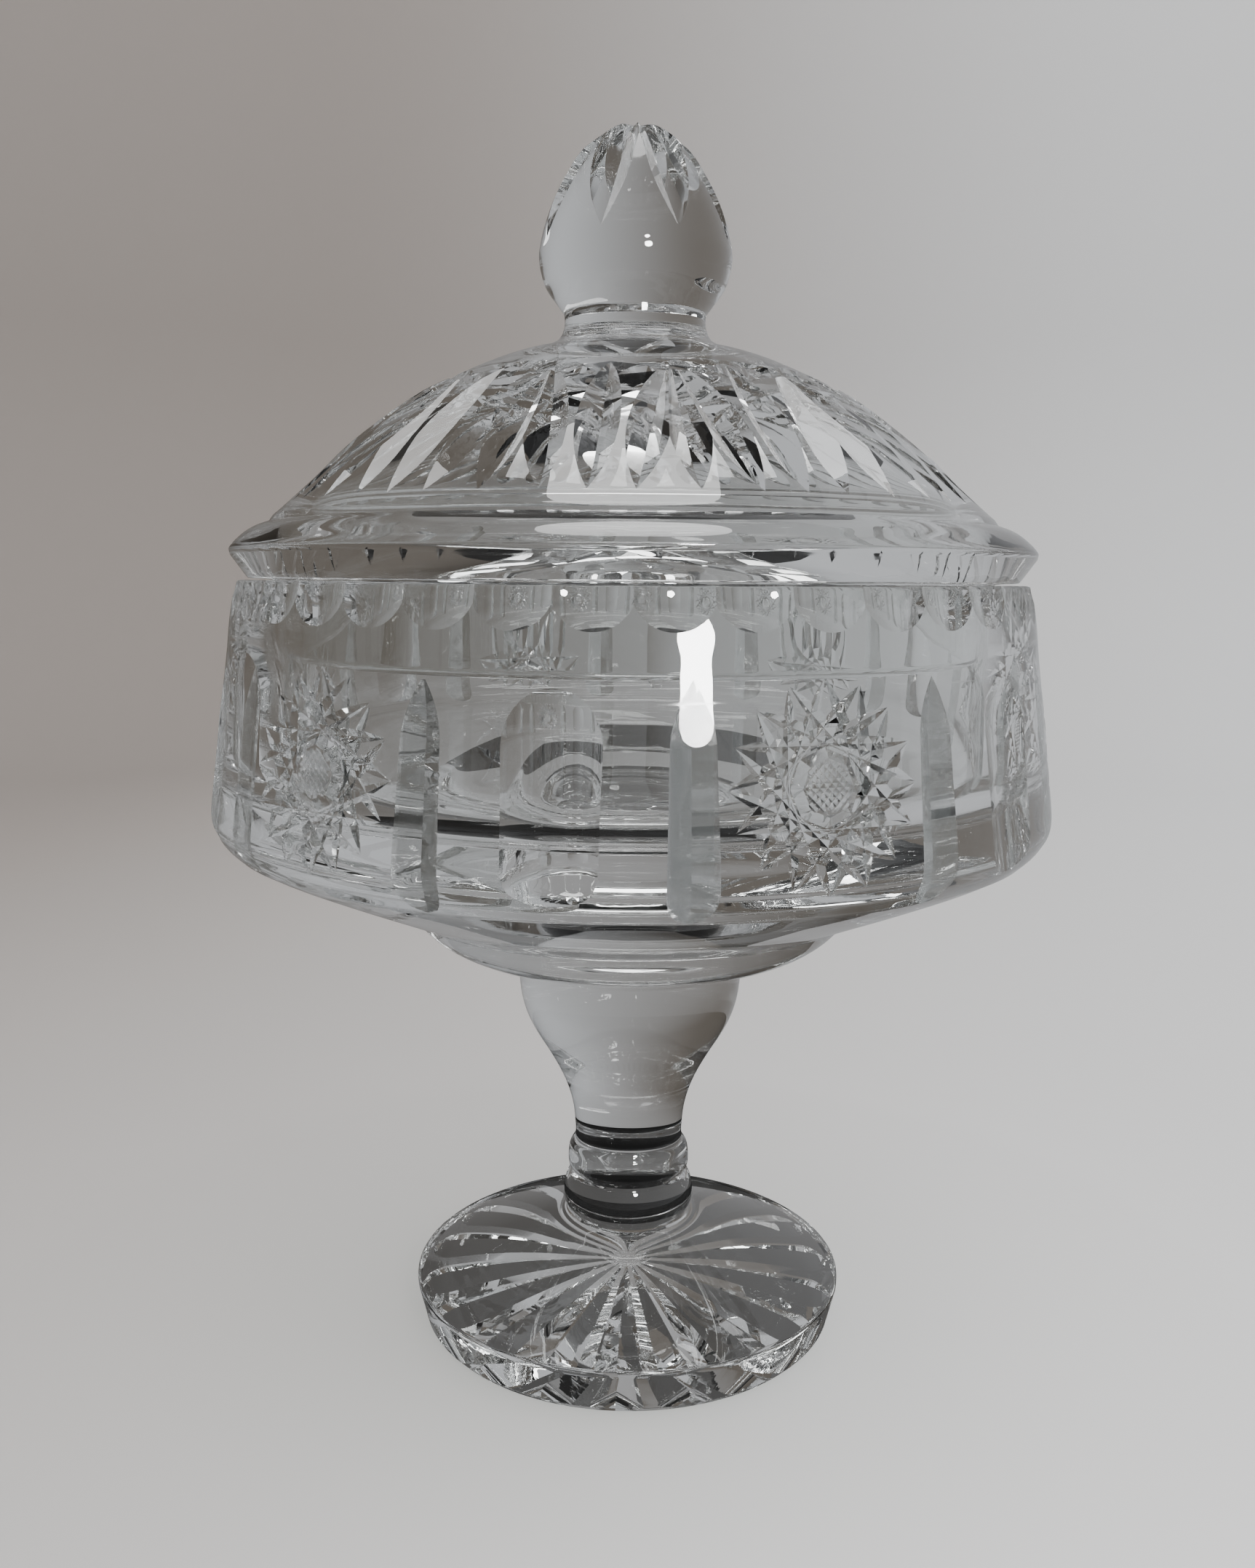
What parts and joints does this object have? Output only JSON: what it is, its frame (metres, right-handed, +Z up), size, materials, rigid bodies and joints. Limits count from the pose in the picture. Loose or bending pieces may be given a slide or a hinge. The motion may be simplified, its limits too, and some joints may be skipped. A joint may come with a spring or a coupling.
{
  "type": "powder jar",
  "caption": "Cut crystal powder jar: a drum-shaped bowl on a stem and round foot, with a domed lid that lifts off by a bud-shaped knob.",
  "frame": {"origin": "centre of the foot's resting plane", "axes": "+Z up along the turning axis; -Y is the front, where one of the bowl's arch cuts faces"},
  "size_m": [0.1402, 0.1396, 0.2033],
  "materials": {
    "foot_glass": "polished lead crystal, V-cut star underneath",
    "stem_glass": "polished lead crystal, fire-smooth",
    "bowl_glass": "polished lead crystal with wheel-cut arches, mitres and stars",
    "lid_glass": "polished lead crystal with wheel-cut grooves",
    "finial_glass": "polished lead crystal, V-cut flutes"
  },
  "bodies": {
    "base": {"foot": "foot_glass", "stem": "stem_glass", "bowl": "bowl_glass"},
    "lid_unit": {"lid": "lid_glass", "finial": "finial_glass"}
  },
  "joints": [
    {"name": "lid_lift", "type": "slide", "parent": "base", "child": "lid_unit", "axis": [0, 0, 1], "range_m": [0, 0.1]}
  ]
}
